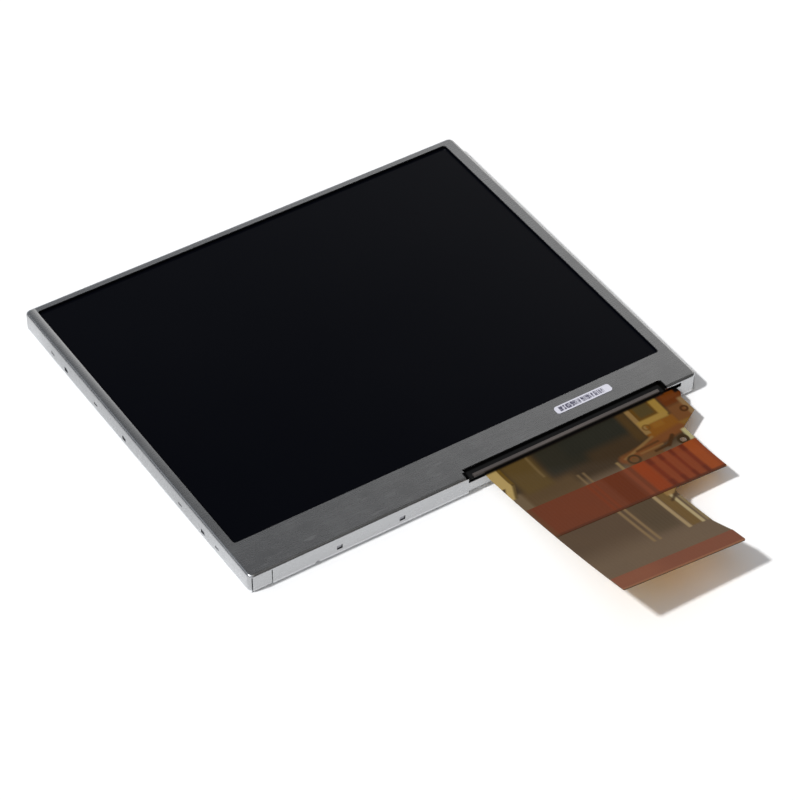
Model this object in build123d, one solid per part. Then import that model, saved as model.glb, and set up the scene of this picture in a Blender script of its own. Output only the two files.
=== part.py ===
from build123d import *
import math
import os

# A three inch 4:3 colour LCD module: a stamped bezel over a backlight and a glass panel,
# with a wide flexible circuit that leaves through a notch in the front wall and curls up.
# X runs right along the long side, Y to the back, Z up. Millimetres.
# The origin is the centre of the module's rear face.

# Module envelope
module_w = 65.4
module_d = 56.0
module_t = 2.8

# Front bezel, stamped and folded from one sheet
bezel_sheet = 0.2
bezel_fold_r = 0.35
bezel_corner_r = 0.8
bezel_foot = 0.12
window_corner_r = 0.4
border_left = 1.37
border_right = 1.66
border_back = 1.0
border_front = 5.88
slit_w = 0.12
slit_inset = 0.4
slit_land = 0.35
corner_tab_w = 2.7
corner_tab_foot = 0.34
edge_notch_r = 0.35
edge_notch_in = 9.4

# Flex exit: a notch through the top plate and the front wall, and a slot in the wall beside it
exit_w = 29.5
exit_corner = 4.9
exit_depth = 1.62
exit_sill = 1.85
exit_undercut = 0.55
exit_side_w = 2.4

# Clip bosses of the rear chassis and their holes in the bezel
clip_w = 0.6
clip_h = 0.4
clip_gap = 0.1
clip_height = 1.1
clip_boss_out = 0.08
side_clip_in = 11.0
side_clip_middle = 2.2
long_clip_in = 12.5
long_clip_pitch = 8.9

# Shallow dents pressed in the side walls, at distances from the back wall
dent_w = 0.8
dent_h = 0.35
dent_depth = 0.06
dent_height = 1.25
dent_places = [7.5, 18.65, 39.6, 48.35]

# Rear chassis, a shallow pan that nests in the bezel
chassis_sheet = 0.2
chassis_gap = 0.05
chassis_wall_top = 1.5
chassis_fold_r = 0.25
chassis_corner_relief = 1.4

# Moulded frame
frame_gap = 0.05
frame_corner_r = 0.3
frame_side = 0.9
frame_back = 0.55
frame_front = 0.8
frame_rim = 0.3
frame_front_rim = 0.35
frame_ledge = 1.4
peg_r = 0.3
peg_gap = 0.05
peg_in = 8.0
led_shelf_in = 4.4

# Optical films, from the rear chassis upwards
film_gap = 0.1
reflector_t = 0.1
light_guide_t = 0.8
diffuser_t = 0.1
prism_t = 0.1
film_in = 4.5
light_guide_in = 3.8
film_tab_w = 4.0
film_tab_out = 0.06
film_tab_in = 16.0

# Backlight lamps
led_count = 4
led_pitch = 15.5
led_w = 3.8
led_d = 1.0
led_h = 0.8
led_gap = 0.05
resin_w = 3.0
resin_h = 0.5
resin_d = 0.4
led_strip_t = 0.12
led_strip_overlap = 0.5
led_strip_end = 1.5
led_tab_w = 3.1
led_tab_clear = 0.25
led_tab_knee = 0.4
led_tab_ramp = 1.2
led_tab_pad = 1.6
led_tab_r = 0.6

# Glass panel
rim_tape_t = 0.06
rim_tape_side = 0.95
rim_tape_back = 0.55
rim_tape_front = 4.0
polarizer_t = 0.15
polarizer_inset = 0.25
polarizer_ledge = 0.3
top_polarizer_t = 0.18
top_polarizer_front = 1.0
glass_t = 0.3
cell_gap = 0.02
seal_w = 0.6
panel_gap = 0.05
filter_glass_in = 4.4
gasket_w = 0.8
gasket_margin = 0.1

# Driver chip on the glass ledge
chip_w = 20.0
chip_d = 1.1
chip_h = 0.3
chip_clear = 0.6

# Flexible circuit, plan view. Its X sizes start from the notch, its Y sizes from the front wall
flex_start = 2.45
flex_tail_w = 17.25
flex_wide_w = 25.25
flex_ear_out = 1.15
flex_root_gap = 0.8
flex_bond_d = 1.4
shoulder_start = 1.0
shoulder_end = 1.7
ear_end = 4.5
ear_slant_end = 6.3
wide_end = 15.05
flare_start = 23.5
flare_end = 26.0
flare_out = 0.5
tail_end = 28.4
flex_corner_r = 0.2
flex_armpit_r = 1.0
flex_hole_r = 0.42
flex_hole_in = 1.35
flex_hole_out = 8.0

# Flexible circuit, side view: flat, then a lifting arc, a short ramp and a wide curl. The fold
# starts where the left edge meets the front wall and is turned by the twist
bond_t = 0.02
flex_twist = 20.85
lift_angle = 7.1
lift_r = 12.0
ramp_run = 1.4
curl_r = 176.0

# Flexible circuit, layers
base_t = 0.06
copper_t = 0.03
cover_t = 0.03
strip_t = 0.05
contact_t = 0.03
copper_margin = 0.35
gap_line_w = 0.28
gap_line_ends = (15.0, 21.9)
gap_line_steps = [9.05, 9.75, 14.25, 16.25]
window_line_w = 0.5
window_left_in = 7.8
window_right_in = 3.7
window_cross_out = 3.3
window_left_end = 4.9
clear_edge_w = 1.3
clear_edge_out = 3.6
strip_one_start = 8.3
strip_two_w = 2.6
contact_count = 33
contact_pitch = 0.5
contact_w = 0.33
contact_land = 0.15
contact_run = 3.0

# Black tape over the flex's root, folded up along its front edge
lip_start = 0.95
lip_stop = 0.8
lip_in = 0.2
lip_d = 0.55
lip_t = 0.4
lip_r = 0.12
lip_tape_t = 0.06
lip_tape_gap = 0.1

# Label on the bezel
label_w = 8.3
label_d = 1.3
label_t = 0.05
label_r = 0.4
label_corner = 14.75
label_in = 3.9

# Planes and edges worked out from the sizes above
half_w = module_w / 2
half_d = module_d / 2
front_y = -half_d
bezel_under = module_t - bezel_sheet
window = (-half_w + border_left, half_w - border_right, -half_d + border_front, half_d - border_back)
pan_inset = bezel_sheet + chassis_gap
frame_inset = pan_inset + chassis_sheet + frame_gap
frame_x = half_w - frame_inset
frame_y = half_d - frame_inset
guide_z = chassis_sheet + reflector_t
diffuser_z = guide_z + light_guide_t
lower_prism_z = diffuser_z + diffuser_t
upper_prism_z = lower_prism_z + prism_t
panel_x = frame_x - frame_rim - panel_gap
panel_back = frame_y - frame_rim - panel_gap
panel_front = -frame_y + frame_front_rim + panel_gap
film_x = frame_x - frame_side - film_gap
film_back = frame_y - frame_back - film_gap
lamp_front = -frame_y + frame_front + film_gap
lower_polarizer_z = frame_ledge + rim_tape_t
array_z = lower_polarizer_z + polarizer_t
ledge_z = array_z + glass_t
filter_z = ledge_z + cell_gap
top_polarizer_z = filter_z + glass_t
flex_z = ledge_z + bond_t
bond_back = panel_front + flex_bond_d
copper_low = base_t
cover_low = copper_low + copper_t
strip_low = cover_low + cover_t
exit_right = half_w - exit_corner
exit_left = exit_right - exit_w
slot_right = exit_right + exit_side_w
flex_left = exit_left + flex_start
flex_tail_right = flex_left + flex_tail_w
flex_wide_right = flex_left + flex_wide_w
flex_ear_right = exit_right + flex_ear_out
flex_root_right = slot_right - flex_root_gap
window_left_x = flex_root_right - window_left_in
window_right_x = flex_root_right - window_right_in
led_tab_x = (window_left_x + window_right_x) / 2
film_front = front_y + film_in
light_guide_front = front_y + light_guide_in
filter_glass_front = front_y + filter_glass_in
led_shelf_back = front_y + led_shelf_in
tall = 4 * module_t


def block(x0, x1, y0, y1, z0, z1):
    """A box between two limits on each axis."""
    middle = Pos((x0 + x1) / 2, (y0 + y1) / 2, (z0 + z1) / 2)
    return middle * Box(x1 - x0, y1 - y0, z1 - z0)


def rounded(x0, x1, y0, y1, z0, z1, r):
    """A plate between limits, with its corners rounded in plan."""
    outline = RectangleRounded(x1 - x0, y1 - y0, r)
    return extrude(Pos((x0 + x1) / 2, (y0 + y1) / 2, z0) * outline, z1 - z0)


def ring(outer, inner, z0, z1, r_outer, r_inner):
    """A flat frame: one rounded plate with another cut from it."""
    return rounded(*outer, z0, z1, r_outer) - rounded(*inner, z0, z1, r_inner)


def clip_blocks(inset, out, gap):
    """Blocks at the clips of the four walls, from inset inside the wall's face to out beyond it."""
    w = clip_w / 2 + gap
    low = clip_height - clip_h / 2 - gap
    high = clip_height + clip_h / 2 + gap
    pads = []
    for side in (-1, 1):
        faces = sorted((side * (half_w - inset), side * (half_w + out)))
        for y in (half_d - side_clip_in, side_clip_middle, side_clip_in - half_d):
            pads.append(block(*faces, y - w, y + w, low, high))
    first = -half_w + long_clip_in
    for x in (first, 0, -first):
        pads.append(block(x - w, x + w, half_d - inset, half_d + out, low, high))
    for x in (first, first + long_clip_pitch):
        pads.append(block(x - w, x + w, front_y - out, front_y + inset, low, high))
    return pads


def side_dents():
    """Blocks that press the shallow dents into the outer faces of the two side walls."""
    dents = []
    for side in (-1, 1):
        faces = sorted((side * (half_w - dent_depth), side * (half_w + dent_depth)))
        for place in dent_places:
            y = half_d - place
            low = dent_height - dent_h / 2
            dents.append(block(*faces, y - dent_w / 2, y + dent_w / 2, low, low + dent_h))
    return dents


def make_front_bezel():
    """Top plate with the window, four folded walls, slits, clip holes, dents and the flex exit."""
    shell = rounded(-half_w, half_w, -half_d, half_d, bezel_foot, module_t, bezel_corner_r)
    shell = fillet(shell.faces().sort_by(Axis.Z)[-1].edges(), bezel_fold_r)
    s = bezel_sheet
    core = rounded(-half_w + s, half_w - s, -half_d + s, half_d - s, 0, bezel_under, bezel_corner_r - s)
    core = fillet(core.faces().sort_by(Axis.Z)[-1].edges(), bezel_fold_r - s)
    shell -= core
    shell -= rounded(*window, 0, tall, window_corner_r)
    slit_top = module_t - slit_land
    for side in (-1, 1):
        x = side * (half_w - slit_inset)
        for end in (-1, 1):
            y = end * half_d
            shell -= block(x - slit_w / 2, x + slit_w / 2, y - 2 * s, y + 2 * s, 0, slit_top)
    tab_x = -half_w + slit_inset + corner_tab_w
    shell -= block(tab_x - slit_w / 2, tab_x + slit_w / 2, front_y - s, front_y + 2 * s, 0, slit_top)
    shell -= block(-half_w + slit_inset, tab_x, front_y - s, front_y + 2 * s, 0, corner_tab_foot)
    notch = Rot(90, 0, 0) * Cylinder(edge_notch_r, 2.5 * s)
    shell -= Pos(edge_notch_in - half_w, front_y, bezel_foot) * notch
    for hole in clip_blocks(1.5 * s, s, clip_gap):
        shell -= hole
    for dent in side_dents():
        shell -= dent
    shell -= block(exit_left, exit_right, front_y - s, front_y + exit_depth, exit_sill, tall)
    fold_low = module_t - bezel_fold_r
    shell -= block(exit_right - s, slot_right, front_y - s, front_y + 1.5 * s, exit_sill, fold_low)
    shell -= block(exit_left, exit_right, front_y - s, front_y + 1.5 * s, 0, exit_undercut)
    shell -= led_tab_slot()
    return shell


def led_tab_slot():
    """The slot in the front walls that the lamp strip's tab leaves through."""
    half = led_tab_w / 2 + led_tab_clear
    low = diffuser_z - led_tab_clear
    return block(led_tab_x - half, led_tab_x + half, front_y - frame_front, lamp_front, low, exit_sill)


def make_rear_chassis():
    """A pan with relieved corners, clip bosses on its walls and holes for the frame's pegs."""
    x = half_w - pan_inset
    y = half_d - pan_inset
    s = chassis_sheet
    r = bezel_corner_r - pan_inset
    pan = rounded(-x, x, -y, y, 0, chassis_wall_top, r)
    pan = fillet(pan.faces().sort_by(Axis.Z)[0].edges(), chassis_fold_r)
    pan -= rounded(-x + s, x - s, -y + s, y - s, s, tall, r - s)
    c = chassis_corner_relief
    for side in (-1, 1):
        for end in (-1, 1):
            pan -= Pos(side * x, end * y, s + tall / 2) * Box(2 * c, 2 * c, tall)
    for boss in clip_blocks(pan_inset + s / 2, clip_boss_out - bezel_sheet, 0):
        pan += boss
    for peg in frame_pegs(peg_r + peg_gap):
        pan -= peg
    pan -= led_tab_slot()
    return pan


def frame_pegs(radius):
    """Four short pegs under the frame's long sides, as deep as the chassis sheet."""
    x = frame_x - frame_side / 2
    y = half_d - peg_in
    places = [(side * x, end * y) for side in (-1, 1) for end in (-1, 1)]
    return [Pos(px, py, chassis_sheet / 2) * Cylinder(radius, chassis_sheet) for px, py in places]


def make_mould_frame():
    """The moulded frame: panel pocket on a ledge, film opening, lamp pocket, flex exit and pegs."""
    body = rounded(-frame_x, frame_x, -frame_y, frame_y, chassis_sheet, bezel_under, frame_corner_r)
    x = frame_x - frame_rim
    body -= block(-x, x, -frame_y + frame_front_rim, frame_y - frame_rim, frame_ledge, tall)
    x = frame_x - frame_side
    body -= block(-x, x, led_shelf_back, frame_y - frame_back, 0, tall)
    shelf_z = diffuser_z + led_strip_t
    body -= block(-x, x, -frame_y + frame_front, led_shelf_back, 0, shelf_z)
    body -= block(exit_left, slot_right, -half_d, -frame_y + frame_front_rim, exit_sill, tall)
    reach = film_gap + film_tab_out
    half = film_tab_w / 2 + film_gap
    for side, y in film_tabs():
        body -= block(side * x - reach, side * x + reach, y - half, y + half, diffuser_z, tall)
    for peg in frame_pegs(peg_r):
        body += peg
    body -= led_tab_slot()
    return body


def film_tabs():
    """Side and Y of the locating tab on each long side of a film."""
    y = half_d - film_tab_in
    return [(-1, -y), (1, y)]


def make_film(z, thickness):
    """One rectangular film of the backlight stack, with a locating tab on each long side."""
    film = block(-film_x, film_x, film_front, film_back, z, z + thickness)
    reach = film_gap + film_tab_out
    half = film_tab_w / 2
    for side, y in film_tabs():
        edge = side * film_x
        film += block(edge - reach, edge + reach, y - half, y + half, z, z + thickness)
    return film


def lamp_places():
    """Centres of the lamps along the front edge of the light guide."""
    return [(i - (led_count - 1) / 2) * led_pitch for i in range(led_count)]


def make_lamps():
    """Side-view lamp bodies, each with a cavity open to the light guide."""
    back = light_guide_front - led_gap
    bodies = []
    for x in lamp_places():
        body = block(x - led_w / 2, x + led_w / 2, back - led_d, back, guide_z, guide_z + led_h)
        body -= lamp_resin(x)
        bodies.append(body)
    return Compound(children=bodies)


def lamp_resin(x):
    """The phosphor resin that fills one lamp's cavity."""
    back = light_guide_front - led_gap
    low = guide_z + (led_h - resin_h) / 2
    return block(x - resin_w / 2, x + resin_w / 2, back - resin_d, back, low, low + resin_h)


def make_led_strip():
    """The narrow circuit over the lamps, with a tab that steps up to the underside of the main flex."""
    z = guide_z + led_h
    x = film_x - led_strip_end
    strip = block(-x, x, lamp_front, light_guide_front + led_strip_overlap, z, z + led_strip_t)
    mid = z + led_strip_t / 2
    knee = front_y - led_tab_knee
    top = flex_z - led_strip_t / 2
    path = FilletPolyline(
        (led_tab_x, lamp_front, mid),
        (led_tab_x, knee, mid),
        (led_tab_x, knee - led_tab_ramp, top),
        (led_tab_x, knee - led_tab_ramp - led_tab_pad, top),
        radius=led_tab_r,
    )
    section = Plane(path @ 0, x_dir=(1, 0, 0), z_dir=path % 0) * Rectangle(led_tab_w, led_strip_t)
    return strip + sweep(section, path=path)


def bend_line(height):
    """Side view of the bend at one height above the flex's underside, to beyond the tail's end."""
    lift = math.radians(lift_angle)
    tail_run = tail_end - lift_r * math.sin(lift)
    curl_angle = math.degrees(math.asin(math.sin(lift) + tail_run / curl_r)) - lift_angle
    flat = Line((-flex_ear_right, height), (0, height))
    rising = JernArc(flat @ 1, flat % 1, lift_r - height, lift_angle)
    ramp = Line(rising @ 1, rising @ 1 + ramp_run * (rising % 1))
    curl = JernArc(ramp @ 1, ramp % 1, curl_r - height, curl_angle)
    return [flat, rising, ramp, curl]


def flex_layer(plan, low, high):
    """The part of one bent layer, between two heights, that lies over a flat plan shape."""
    under = bend_line(low)
    over = bend_line(high)
    ends = [Line(under[0] @ 0, over[0] @ 0), Line(under[-1] @ 1, over[-1] @ 1)]
    c = math.cos(math.radians(flex_twist))
    s = math.sin(math.radians(flex_twist))
    side = Plane((flex_left, front_y, flex_z), x_dir=(-s, -c, 0), z_dir=(-c, s, 0))
    band = extrude(side * make_face(under + over + ends), 2 * flex_ear_right, both=True)
    return band & extrude(plan, tall)


def flex_outline(margin=0):
    """Plan of the flex, or of the area a margin inside it: root, shoulder, ear, wide middle and tail."""
    root = bond_back
    left = flex_left + margin
    tail_y = front_y - tail_end + margin
    tail_right = flex_tail_right - margin
    armpit_y = front_y - wide_end + margin
    wide_right = flex_wide_right - margin
    ear_right = flex_ear_right - margin
    slant = math.atan2(ear_slant_end - ear_end, flex_ear_right - flex_wide_right)
    slant_rise = margin * math.tan((math.pi / 2 - slant) / 2)
    corners = [
        (left, root, flex_corner_r),
        (left, tail_y, flex_corner_r),
        (tail_right + flare_out, tail_y, flex_corner_r),
        (tail_right + flare_out, front_y - flare_end, flex_corner_r),
        (tail_right, front_y - flare_start, flex_corner_r),
        (tail_right, armpit_y, flex_armpit_r + margin),
        (wide_right, armpit_y, flex_corner_r),
        (wide_right, front_y - ear_slant_end + slant_rise, flex_corner_r),
        (ear_right, front_y - ear_end + slant_rise, flex_corner_r),
        (ear_right, front_y - shoulder_end, flex_corner_r),
        (flex_root_right - margin, front_y - shoulder_start, flex_corner_r),
        (flex_root_right - margin, root, flex_corner_r),
    ]
    points = [(x, y) for x, y, r in corners]
    edge = FilletPolyline(*points, radius=[r for x, y, r in corners], close=True)
    return make_face(edge) - flex_hole(margin)


def flex_hole(margin):
    """The round positioning hole, or the clear ring a margin around it."""
    return Pos(flex_wide_right - flex_hole_in, front_y - flex_hole_out) * Circle(flex_hole_r + margin)


def band_across(x0, x1, out0, out1):
    """A plan rectangle between two X values and two distances out from the front wall."""
    return Pos((x0 + x1) / 2, front_y - (out0 + out1) / 2) * Rectangle(x1 - x0, out1 - out0)


def copper_plan():
    """Plan of the conductor areas: the outline less its margin, the gap lines and the clear windows."""
    area = flex_outline(copper_margin)
    for step in gap_line_steps:
        x = flex_left + step
        area -= band_across(x - gap_line_w / 2, x + gap_line_w / 2, *gap_line_ends)
    w = window_line_w
    inner = -exit_depth
    area -= band_across(window_left_x - w / 2, window_left_x + w / 2, inner, window_left_end)
    area -= band_across(window_left_x, window_right_x, window_cross_out - w / 2, window_cross_out + w / 2)
    area -= band_across(window_right_x - w, window_right_x + w, inner, window_cross_out + w / 2)
    area -= band_across(flex_left, flex_left + clear_edge_w, inner, clear_edge_out)
    return area


def make_contacts():
    """Plated contact fingers on the underside of the tail's end."""
    middle = (flex_left + flex_tail_right) / 2
    near = tail_end - contact_run
    far = tail_end - contact_land
    fingers = Sketch()
    for i in range(contact_count):
        x = middle + (i - (contact_count - 1) / 2) * contact_pitch
        fingers += band_across(x - contact_w / 2, x + contact_w / 2, near, far)
    return flex_layer(fingers, -contact_t, 0)


def make_lip_strip():
    """Tape over the flex's root, with a raised and rounded fold along its front edge."""
    low = flex_z + strip_low
    y = front_y + lip_in
    left = exit_left + lip_tape_gap
    right = exit_right - lip_tape_gap
    fold = block(exit_left + lip_start, exit_right - lip_stop, y, y + lip_d, low, low + lip_t)
    fold = fillet(fold.edges().filter_by(Axis.X).group_by(Axis.Z)[-1], lip_r)
    return fold + block(left, right, y, bond_back, low, low + lip_tape_t)


def build_parts():
    """Every sub-part by its name."""
    panel = (-panel_x, panel_x)
    parts = {}
    parts["front_bezel"] = make_front_bezel()
    parts["rear_chassis"] = make_rear_chassis()
    parts["mould_frame"] = make_mould_frame()
    parts["reflector_sheet"] = block(-film_x, film_x, lamp_front, film_back, chassis_sheet, guide_z)
    parts["light_guide"] = block(-film_x, film_x, light_guide_front, film_back, guide_z, diffuser_z)
    parts["lower_diffuser"] = make_film(diffuser_z, diffuser_t)
    parts["lower_prism_sheet"] = make_film(lower_prism_z, prism_t)
    parts["upper_prism_sheet"] = make_film(upper_prism_z, prism_t)
    parts["white_leds"] = make_lamps()
    parts["led_resin"] = Compound(children=[lamp_resin(x) for x in lamp_places()])
    parts["led_strip_flex"] = make_led_strip()
    tape_inner = (-panel_x + rim_tape_side, panel_x - rim_tape_side,
                  panel_front + rim_tape_front, panel_back - rim_tape_back)
    tape_outer = (*panel, panel_front, panel_back)
    parts["rim_tape"] = ring(tape_outer, tape_inner, frame_ledge, lower_polarizer_z, 0.2, 0.2)
    p = polarizer_inset
    film_edge = (-panel_x + p, panel_x - p, filter_glass_front + polarizer_ledge, panel_back - p)
    parts["lower_polarizer"] = block(*film_edge, lower_polarizer_z, array_z)
    parts["array_glass"] = block(*panel, panel_front, panel_back, array_z, ledge_z)
    seal_outer = (-panel_x + p, panel_x - p, filter_glass_front + p, panel_back - p)
    w = seal_w
    seal_inner = (seal_outer[0] + w, seal_outer[1] - w, seal_outer[2] + w, seal_outer[3] - w)
    parts["cell_seal"] = ring(seal_outer, seal_inner, ledge_z, filter_z, 0.3, 0.2)
    parts["liquid_crystal"] = rounded(*seal_inner, ledge_z, filter_z, 0.2)
    parts["colour_filter_glass"] = block(*panel, filter_glass_front, panel_back, filter_z, top_polarizer_z)
    top_front = filter_glass_front + top_polarizer_front
    parts["upper_polarizer"] = block(*film_edge[:2], top_front, panel_back - panel_gap,
                                     top_polarizer_z, top_polarizer_z + top_polarizer_t)
    gasket_front = filter_glass_front + gasket_margin
    parts["front_gasket"] = block(-panel_x + p, panel_x - p, gasket_front, gasket_front + gasket_w,
                                  top_polarizer_z, bezel_under)
    chip_y = filter_glass_front - chip_clear - chip_d / 2
    parts["driver_chip"] = block(-chip_w / 2, chip_w / 2, chip_y - chip_d / 2, chip_y + chip_d / 2,
                                 ledge_z, ledge_z + chip_h)
    parts["flex_bond_film"] = block(flex_left, flex_root_right, panel_front, bond_back, ledge_z, flex_z)
    parts["flex_base_film"] = flex_layer(flex_outline(), 0, copper_low)
    parts["flex_copper"] = flex_layer(copper_plan(), copper_low, cover_low)
    parts["flex_cover_film"] = flex_layer(flex_outline(), cover_low, strip_low)
    wide = band_across(flex_left, flex_wide_right, strip_one_start, wide_end) & flex_outline()
    parts["middle_strip"] = flex_layer(wide, strip_low, strip_low + strip_t)
    end_right = flex_tail_right + flare_out
    narrow = band_across(flex_left, end_right, tail_end - strip_two_w, tail_end) & flex_outline()
    parts["tail_stiffener"] = flex_layer(narrow, strip_low, strip_low + strip_t)
    parts["contact_fingers"] = make_contacts()
    parts["exit_lip_strip"] = make_lip_strip()
    x = half_w - label_corner
    y = front_y + label_in
    label = (x - label_w / 2, x + label_w / 2, y - label_d / 2, y + label_d / 2)
    parts["serial_label"] = rounded(*label, module_t, module_t + label_t, label_r)
    return parts


def main():
    """Write each sub-part to a file of its own."""
    os.makedirs("parts", exist_ok=True)
    for name, shape in build_parts().items():
        export_step(shape, f"parts/{name}.step")


main()
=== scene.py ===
"""Visual model of a small LCD display module: a steel bezel round a black panel, and a flexible
circuit that leaves through a notch and curls up. Sizes are in millimetres unless a name says
otherwise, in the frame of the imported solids."""
import logging
import math
from abc import ABC, abstractmethod
from collections.abc import Callable
from dataclasses import dataclass, field
from enum import Enum
from typing import Any, ClassVar

import bmesh
import bpy
import numpy as np
from mathutils import Matrix, Vector


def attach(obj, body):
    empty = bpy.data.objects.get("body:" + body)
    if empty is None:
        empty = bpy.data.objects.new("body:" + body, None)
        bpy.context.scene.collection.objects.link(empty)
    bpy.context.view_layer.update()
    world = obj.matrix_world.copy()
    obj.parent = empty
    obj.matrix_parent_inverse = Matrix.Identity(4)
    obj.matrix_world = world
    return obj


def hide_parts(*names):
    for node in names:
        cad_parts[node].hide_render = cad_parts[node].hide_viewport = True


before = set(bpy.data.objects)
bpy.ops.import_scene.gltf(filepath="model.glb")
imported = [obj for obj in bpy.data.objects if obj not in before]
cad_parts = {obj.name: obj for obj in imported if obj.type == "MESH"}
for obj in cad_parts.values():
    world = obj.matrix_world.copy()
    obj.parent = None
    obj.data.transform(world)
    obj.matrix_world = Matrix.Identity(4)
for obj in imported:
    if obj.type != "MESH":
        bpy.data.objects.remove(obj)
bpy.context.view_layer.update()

LOG = logging.getLogger("display_module")
MM = 0.001
MERGE_DISTANCE = 0.0005 * MM
CREASE_ANGLE = math.radians(40)

Colour = tuple[float, float, float, float]
WHITE: Colour = (1.0, 1.0, 1.0, 1.0)


def srgb(red: float, green: float, blue: float) -> Colour:
    """Turns a screen colour of 0 to 255 into linear light.

    Args:
        red, green, blue: Screen values from 0 to 255.

    Returns:
        The linear colour with an alpha of 1.
    """
    parts = [v / 255 for v in (red, green, blue)]
    light = [v / 12.92 if v <= 0.04045 else ((v + 0.055) / 1.055) ** 2.4 for v in parts]
    return (*light, 1.0)


def new_object(name: str, data: bpy.types.ID) -> bpy.types.Object:
    """Makes an object of this data and links it to the scene.

    Args:
        name: The object's name.
        data: Its mesh, camera or light.

    Returns:
        The object.
    """
    made = bpy.data.objects.new(name, data)
    bpy.context.scene.collection.objects.link(made)
    return made


class Signal:
    """A value that runs through a material: one socket, with arithmetic that adds Math nodes."""

    def __init__(self, bench: "Bench", socket: bpy.types.NodeSocket) -> None:
        """Keeps the node tree and the socket that carries the value."""
        self.bench = bench
        self.socket = socket

    def _math(self, operation: str, *others: Any) -> "Signal":
        """Adds one Math node with this value first."""
        return self.bench.math(operation, self, *others)

    def __add__(self, other: Any) -> "Signal":
        """This plus other."""
        return self._math("ADD", other)

    __radd__ = __add__

    def __sub__(self, other: Any) -> "Signal":
        """This less other."""
        return self._math("SUBTRACT", other)

    def __rsub__(self, other: Any) -> "Signal":
        """Other less this."""
        return self.bench.math("SUBTRACT", other, self)

    def __mul__(self, other: Any) -> "Signal":
        """This times other."""
        return self._math("MULTIPLY", other)

    __rmul__ = __mul__

    def __truediv__(self, other: Any) -> "Signal":
        """This over other."""
        return self._math("DIVIDE", other)

    def __rtruediv__(self, other: Any) -> "Signal":
        """Other over this."""
        return self.bench.math("DIVIDE", other, self)

    def __abs__(self) -> "Signal":
        """The value without its sign."""
        return self._math("ABSOLUTE")

    def __or__(self, other: Any) -> "Signal":
        """The larger of the two, which joins two masks."""
        return self._math("MAXIMUM", other)

    __ror__ = __or__

    def rise(self, low: float, high: float) -> "Signal":
        """0 at low, 1 at high, with a smooth step between, in either order."""
        step = self.bench.node(
            "MapRange", {"interpolation_type": "SMOOTHSTEP"},
            {"Value": self, "From Min": low, "From Max": high, "To Min": 0.0, "To Max": 1.0})
        return Signal(self.bench, step.outputs[0])

    def inside(self, low: float, high: float, soft: float) -> "Signal":
        """1 between low and high and 0 outside.

        Args:
            low, high: The two ends.
            soft: The width of the fade at each end.

        Returns:
            The mask.
        """
        middle = (low + high) / 2
        half = (high - low) / 2
        return abs(self - middle).rise(half + soft / 2, half - soft / 2)


class Bench:
    """Builds the nodes of one material or world."""

    OFFSET_SHARES = (1.0, 1.7, 0.6)

    def __init__(self, tree: bpy.types.NodeTree) -> None:
        """Starts from an empty tree."""
        self.tree = tree
        tree.nodes.clear()

    def node(self, kind: str, settings: dict[str, Any] | None = None,
             values: dict[str | int, Any] | None = None) -> bpy.types.Node:
        """Adds a node.

        Args:
            kind: The node's type, without its common prefix.
            settings: The node's own options, set first.
            values: What goes to each input, by name or number: a number, a tuple, a socket or a Signal.

        Returns:
            The node.
        """
        made = self.tree.nodes.new("ShaderNode" + kind)
        for name, option in (settings or {}).items():
            setattr(made, name, option)
        for name, value in (values or {}).items():
            self.plug(made.inputs[name], value)
        return made

    def plug(self, socket: bpy.types.NodeSocket, value: Any) -> None:
        """Links a value to an input, or sets it there.

        Args:
            socket: The input.
            value: A Signal or a socket to link, or a plain value to set.
        """
        if isinstance(value, Signal):
            self.tree.links.new(value.socket, socket)
        elif isinstance(value, bpy.types.NodeSocket):
            self.tree.links.new(value, socket)
        else:
            socket.default_value = value

    def math(self, operation: str, *values: Any) -> Signal:
        """Adds a Math node and returns its result."""
        made = self.node("Math", {"operation": operation}, dict(enumerate(values)))
        return Signal(self, made.outputs[0])

    def length(self, across: Signal, up: Signal) -> Signal:
        """The length of a vector of two parts: the root of the sum of their squares."""
        return self.math("SQRT", across * across + up * up)

    def vector(self, operation: str, *values: Any) -> bpy.types.Node:
        """Adds a Vector Math node."""
        return self.node("VectorMath", {"operation": operation}, dict(enumerate(values)))

    def mix(self, base: Any, top: Any, mask: Any) -> Signal:
        """Colour base where the mask is 0 and top where it is 1."""
        made = self.node("Mix", {"data_type": "RGBA"}, {0: mask, 6: base, 7: top})
        return Signal(self, made.outputs[2])

    def spread(self, factors: tuple[float, float, float]) -> bpy.types.NodeSocket:
        """The object coordinates times a factor per millimetre on each axis."""
        scale = tuple(factor / MM for factor in factors)
        return self.vector("MULTIPLY", self.node("TexCoord").outputs["Object"], scale).outputs[0]

    def place(self) -> tuple[Signal, Signal, Signal]:
        """The object coordinates in millimetres."""
        parts = self.node("SeparateXYZ", None, {0: self.spread((1.0, 1.0, 1.0))})
        return tuple(Signal(self, out) for out in parts.outputs)

    def noise(self, scale: float, stretch: tuple[float, float, float] = (1, 1, 1), detail: float = 3,
              offset: float = 0.0) -> Signal:
        """Noise around 0.5 in object space.

        Args:
            scale: Spots per millimetre.
            stretch: Factor on each axis, where a small one draws the spots out along it.
            detail: How many finer layers are added.
            offset: Moves the pattern, so that two of them differ.

        Returns:
            The noise value.
        """
        grid = self.spread(tuple(factor * scale for factor in stretch))
        moved = self.vector("ADD", grid, tuple(offset * share for share in self.OFFSET_SHARES))
        made = self.node("TexNoise", None, {"Vector": moved.outputs[0], "Scale": 1.0, "Detail": detail})
        return Signal(self, made.outputs[0])

    def bump(self, height: Signal, distance: float, strength: float = 1.0) -> Signal:
        """A normal from a height of 0 to 1 that stands for distance in millimetres."""
        made = self.node("Bump", None, {"Strength": strength, "Distance": distance * MM, "Height": height})
        return Signal(self, made.outputs[0])


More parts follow.
